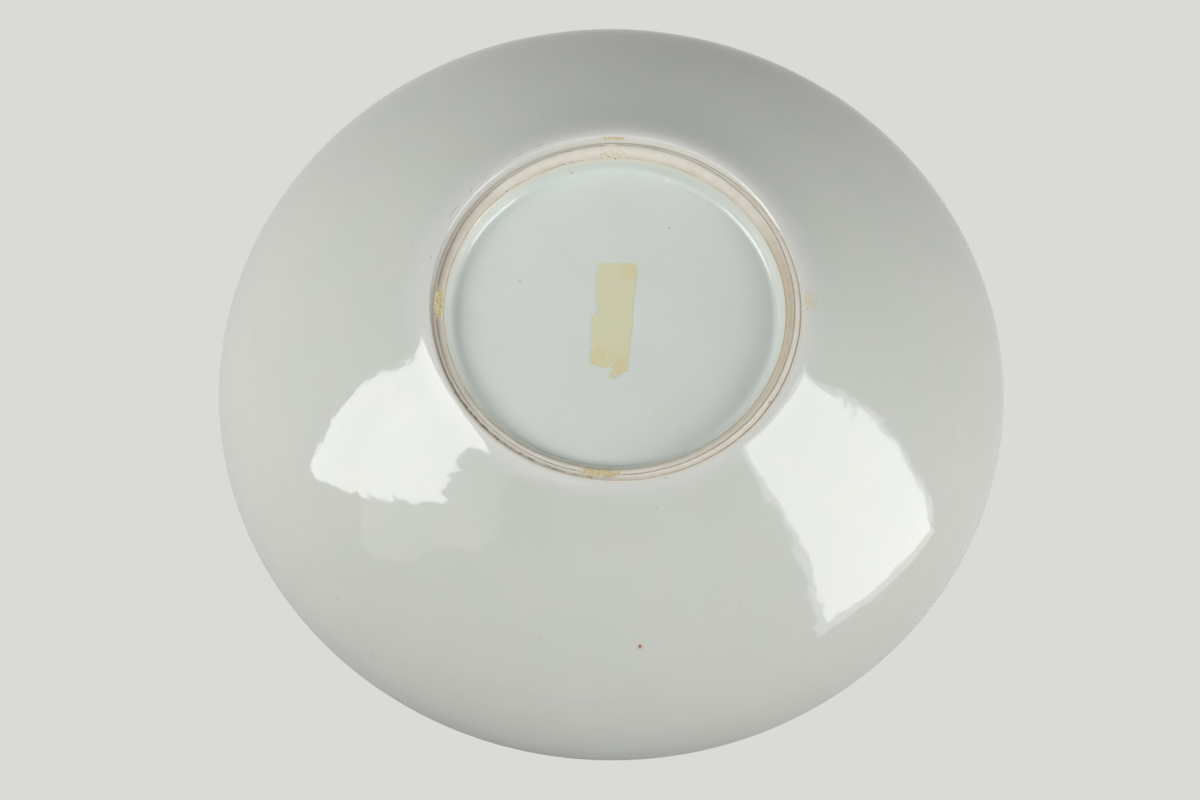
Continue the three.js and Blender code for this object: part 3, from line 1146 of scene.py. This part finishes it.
def glueFinish(faint):
    # dried glue: crumbly, yellow, with dirt caught in its hollows; the faint ones are nearly clay coloured
    finish = Finish("driedGlue")
    glue, deep, dark = (between(residueLooks[name], clayLooks["light"], faint)
                        for name in ("glue", "glueDeep", "glueDark"))
    colour = finish.mix(beyond(finish.noise(0.9, 3.0, 0.6), 0.4, 0.62), glue, deep)
    colour = finish.mix(beyond(finish.noise(0.5, 3.0, 0.6), 0.6, 0.7) * 0.75, colour, dark)
    return finish.surface(colour, 0.45 + finish.noise(1.0, 2.0) * 0.3, finish.noise(0.3, 3.0, 0.6) * 0.06)


def gritFinish():
    # near black, brown in places
    finish = Finish("darkGrit")
    brown = beyond(finish.noise(0.5, 2.0), 0.4, 0.65)
    colour = finish.mix(brown, residueLooks["grit"], residueLooks["gritBrown"])
    return finish.surface(colour, 0.6 + finish.noise(0.6, 2.0) * 0.3, finish.noise(0.12, 2.0) * 0.03)


def dressPieces(bowl, residue, grit, tree):
    bowl["clay"].data.materials.append(clayFinish())
    bowl["outside"].data.materials.append(outsideFinish(tree))
    bowl["inside"].data.materials.append(insideFinish())
    bowl["base"].data.materials.append(baseFinish(tree))
    residue["tape"].data.materials.append(tapeFinish(tree))
    for name in glueDabs:
        residue[name].data.materials.append(glueFinish(faint=glueDabs[name][-1]))
    grit.data.materials.append(gritFinish())
    print("finishes made")


# The studio, in metres. Each lamp has its middle, the ways across and up along it, its size and its
# brightness, and says whether glaze mirrors it.
studio = {
    "floorColour": sRGB(222, 222, 220),
    "floorReach": 6.0,
    "background": sRGB(218, 218, 216),
    "floorFades": (350.0, 1500.0),  # millimetres from the bowl
    "fill": 0.05,
    "aim": (0, 0, 0.02),  # what the softboxes are placed about
    # these lie along the photograph's view: right, up, towards the camera
    "softboxes": {
        "leftSoftbox": {"place": (-1.069, 0.263, 0.77), "across": (0.786, -0.206, 0.583),
                        "upright": (-0.112, 0.88, 0.462), "size": (0.84, 0.83), "brightness": 7.4,
                        "mirrored": True},
        "rightSoftbox": {"place": (1.136, -0.201, 0.577), "across": (0.617, 0.533, -0.579),
                         "upright": (-0.085, 0.776, 0.625), "size": (0.75, 0.731), "brightness": 5.0,
                         "mirrored": True},
        "rightEdge": {"place": (1.133, -0.168, 0.604), "across": (0.617, 0.533, -0.579),
                      "upright": (-0.085, 0.776, 0.625), "size": (0.832, 0.946), "brightness": 2.8,
                      "mirrored": True},
        "frontSoftbox": {"place": (-0.72, 0.2, 1.05), "across": (0.825, 0.0, 0.566),
                         "upright": (0.0, 1.0, 0.0), "size": (1.3, 1.2), "brightness": 1.0,
                         "mirrored": True},
    },
    # and these above the bowl, in its own frame: a broad light, and a small one for the gloss inside
    "overheads": {
        "overhead": {"place": (0.35, -0.3, 2.6), "across": (0.99, 0.0, -0.139),
                     "upright": (0.0, 1.0, 0.0), "size": (1.6, 1.6), "brightness": 6.4,
                     "mirrored": False},
        "glint": {"place": (0.0, -1.04, 2.6), "across": (1.0, 0.0, 0.0),
                  "upright": (0.0, 0.928, 0.371), "size": (0.78, 0.78), "brightness": 8.0,
                  "mirrored": True},
    },
}


def makeLamp(name, looks, origin, axes):
    # a flat lamp of an even brightness, placed about an origin and along these axes
    width, height = looks["size"]
    data = bpy.data.lights.new(name, "AREA")
    data.shape = "RECTANGLE"
    data.size = width
    data.size_y = height
    data.energy = math.pi * width * height * looks["brightness"]
    lamp = bpy.data.objects.new(name, data)
    bpy.context.collection.objects.link(lamp)
    upright = axes @ Vector(looks["upright"])
    behind = (axes @ Vector(looks["across"])).cross(upright).normalized()
    across = upright.cross(behind).normalized()
    turn = Matrix((across, behind.cross(across), behind)).transposed().to_4x4()
    lamp.matrix_world = Matrix.Translation(Vector(origin) + axes @ Vector(looks["place"])) @ turn
    lamp.visible_camera = False
    lamp.visible_glossy = looks["mirrored"]


def floorFinish():
    # a pale floor that shows from above only, so the foot can be seen from below; far off it has the
    # background's colour
    finish = Finish("floor")
    path = finish.node("ShaderNodeLightPath").outputs
    face = finish.node("ShaderNodeNewGeometry").outputs
    shows = finish.wire(path["Is Camera Ray"]) * (1 - finish.wire(face["Backfacing"]))
    distant = beyond(finish.away((0.0, 0.0, 0.0)), *studio["floorFades"])
    near = finish.node("ShaderNodeBsdfDiffuse", sockets={"Color": studio["floorColour"]}).outputs[0]
    far = finish.node("ShaderNodeEmission", sockets={"Color": studio["background"]}).outputs[0]
    clear = finish.node("ShaderNodeBsdfTransparent").outputs[0]
    ground = finish.node("ShaderNodeMixShader", sockets={0: distant, 1: near, 2: far}).outputs[0]
    blend = finish.node("ShaderNodeMixShader", sockets={0: shows, 1: clear, 2: ground}).outputs[0]
    finish.node("ShaderNodeOutputMaterial", sockets={"Surface": blend})
    return finish.material


def makeFloor():
    reach = studio["floorReach"]
    corners = [(-reach, -reach, 0), (reach, -reach, 0), (reach, reach, 0), (-reach, reach, 0)]
    mesh = bpy.data.meshes.new("floor")
    mesh.from_pydata(corners, [], [(0, 1, 2, 3)])
    mesh.materials.append(floorFinish())
    floor = bpy.data.objects.new("floor", mesh)
    bpy.context.collection.objects.link(floor)


def makeWorld():
    # a pale background for the camera and for reflections, and a dim fill for everything else
    world = bpy.data.worlds.new("studio")
    bpy.context.scene.world = world
    nodes = Nodes(world)
    path = nodes.node("ShaderNodeLightPath").outputs
    seen = nodes.wire(path["Is Camera Ray"]) + nodes.wire(path["Is Glossy Ray"])
    seen = (seen + nodes.wire(path["Is Transmission Ray"])).clamped()
    shown = nodes.node("ShaderNodeBackground", sockets={"Color": studio["background"]}).outputs[0]
    dim = {"Color": (1, 1, 1), "Strength": studio["fill"]}
    fill = nodes.node("ShaderNodeBackground", sockets=dim).outputs[0]
    blend = nodes.node("ShaderNodeMixShader", sockets={0: seen, 1: fill, 2: shown}).outputs[0]
    nodes.node("ShaderNodeOutputWorld", sockets={"Surface": blend})


def makeStudio():
    makeFloor()
    makeWorld()
    for name, looks in studio["softboxes"].items():
        makeLamp(name, looks, studio["aim"], viewAxes)
    for name, looks in studio["overheads"].items():
        makeLamp(name, looks, (0, 0, 0), Matrix.Identity(3))
    bpy.context.scene.view_settings.view_transform = "Standard"
    print("studio made")


makeCamera()
bowl = makeBowl()
surfaces = surfaceTree([bowl["clay"], bowl["outside"], bowl["base"]])
residue = makeResidue(surfaces)
grit = makeGrit(surfaces)
dressPieces(bowl, residue, grit, surfaces)
makeStudio()
